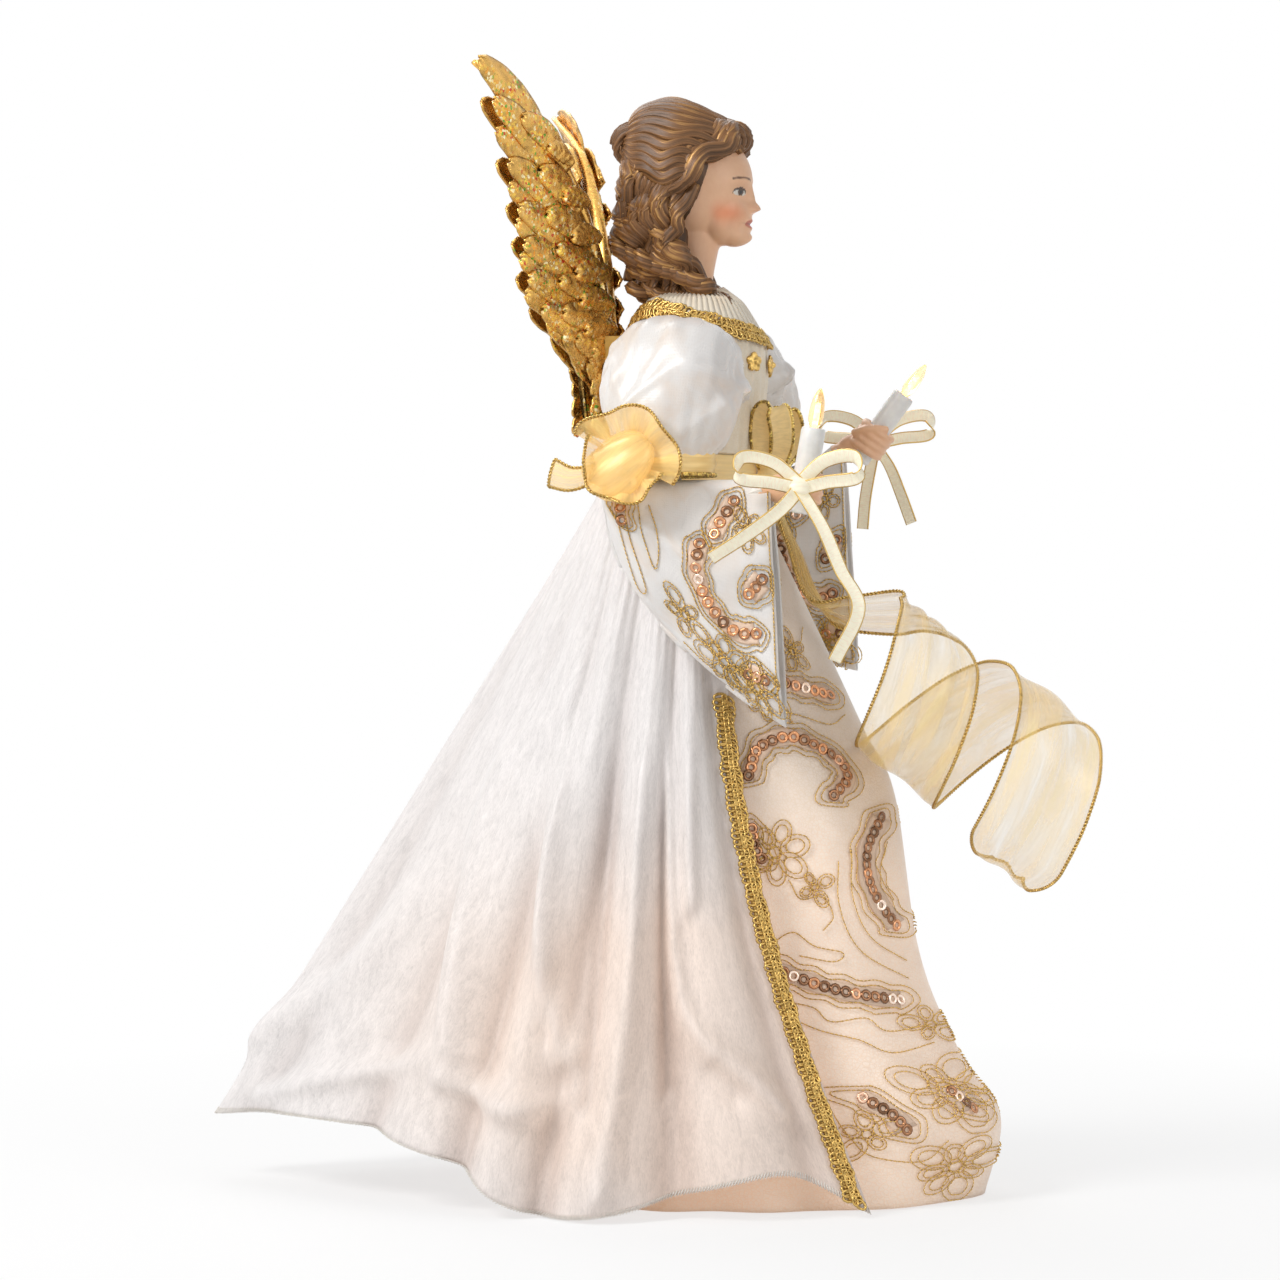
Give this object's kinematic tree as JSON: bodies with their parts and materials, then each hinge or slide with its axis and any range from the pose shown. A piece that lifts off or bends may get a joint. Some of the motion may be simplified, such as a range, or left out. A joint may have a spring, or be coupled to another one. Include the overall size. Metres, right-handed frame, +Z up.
{
  "type": "angel tree topper",
  "caption": "Lit angel tree topper: dressed figure on a hollow stand cone, with swept gold wings, posable arms holding pull-out candle lamps, a full gown and a trailing overskirt.",
  "frame": {"origin": "centre of the stand cone's open mouth, on the plane that its rim stands on", "axes": "+Z up along the stand cone; the figure faces -Y, its right hand is at -X"},
  "size_m": [0.1734, 0.3194, 0.386],
  "materials": {
    "cone_board": "pale rolled board with a plastic-coated face",
    "core_foam": "matte moulded core",
    "grommet_rubber": "soft ivory rubber",
    "lamp_wire": "ivory insulated wire",
    "lamp_holder": "white moulded holder",
    "lamp_glass": "clear glass, lit",
    "wire_steel": "plain steel",
    "painted_skin": "matte painted porcelain",
    "painted_hair": "brown with brushed gold highlights",
    "white_satin": "pearly satin",
    "embroidered_net": "satin under gold embroidered net with sequins",
    "crushed_velvet": "white crushed velvet",
    "gold_ribbon": "metallic woven ribbon",
    "gold_braid": "looped metallic braid",
    "gold_organza": "sheer ribbon with wired gold edges",
    "ivory_ribbon": "ivory satin ribbon with gold edges",
    "wing_gold": "antique gold paint with coarse glitter",
    "candle_white": "smooth white sleeve"
  },
  "bodies": {
    "figure": {"base_cone": "cone_board", "cord_grommet": "grommet_rubber", "lamp_wire": "lamp_wire", "torso": "core_foam", "shoulder_wire": "wire_steel", "head": "painted_skin", "hair": "painted_hair", "bodice": "white_satin", "collar_trim": "gold_braid", "front_bead": "gold_braid", "right_bead": "gold_braid", "left_bead": "gold_braid", "gown": "embroidered_net", "overskirt": "crushed_velvet", "right_front_braid": "gold_braid", "left_front_braid": "gold_braid", "waist_sash": "gold_ribbon", "sash_bow": "gold_ribbon", "sash_streamer": "gold_organza", "wing_bracket": "core_foam", "right_wing": "wing_gold", "left_wing": "wing_gold", "right_wing_screw": "wire_steel", "left_wing_screw": "wire_steel", "skirt_lamp_holder_1": "lamp_holder", "skirt_lamp_1": "lamp_glass", "skirt_lamp_holder_2": "lamp_holder", "skirt_lamp_2": "lamp_glass", "skirt_lamp_holder_3": "lamp_holder", "skirt_lamp_3": "lamp_glass", "skirt_lamp_holder_4": "lamp_holder", "skirt_lamp_4": "lamp_glass", "skirt_lamp_holder_5": "lamp_holder", "skirt_lamp_5": "lamp_glass", "skirt_lamp_holder_6": "lamp_holder", "skirt_lamp_6": "lamp_glass", "skirt_lamp_holder_7": "lamp_holder", "skirt_lamp_7": "lamp_glass", "skirt_lamp_holder_8": "lamp_holder", "skirt_lamp_8": "lamp_glass"},
    "right_arm_body": {"right_arm": "core_foam", "right_puff_sleeve": "white_satin", "right_arm_band": "gold_ribbon", "right_rosette": "gold_organza", "right_bell_sleeve": "embroidered_net", "right_hand": "painted_skin", "right_candle": "candle_white", "right_lamp_holder": "lamp_holder", "right_candle_bow": "ivory_ribbon"},
    "right_flame_body": {"right_flame_lamp": "lamp_glass"},
    "left_arm_body": {"left_arm": "core_foam", "left_puff_sleeve": "white_satin", "left_arm_band": "gold_ribbon", "left_rosette": "gold_organza", "left_bell_sleeve": "embroidered_net", "left_hand": "painted_skin", "left_candle": "candle_white", "left_lamp_holder": "lamp_holder", "left_candle_bow": "ivory_ribbon"},
    "left_flame_body": {"left_flame_lamp": "lamp_glass"}
  },
  "joints": [
    {"name": "right_shoulder", "type": "hinge", "parent": "figure", "child": "right_arm_body", "pos_m": [0, 0.01, 0.296], "axis": [-1, 0, 0], "range_deg": [-12, 25]},
    {"name": "left_shoulder", "type": "hinge", "parent": "figure", "child": "left_arm_body", "pos_m": [0, 0.01, 0.296], "axis": [-1, 0, 0], "range_deg": [-28, 12]},
    {"name": "right_lamp_pull", "type": "slide", "parent": "right_arm_body", "child": "right_flame_body", "axis": [0, -0.1736, 0.9848], "range_m": [0, 0.012]},
    {"name": "left_lamp_pull", "type": "slide", "parent": "left_arm_body", "child": "left_flame_body", "axis": [0, -0.5878, 0.809], "range_m": [0, 0.012]}
  ]
}
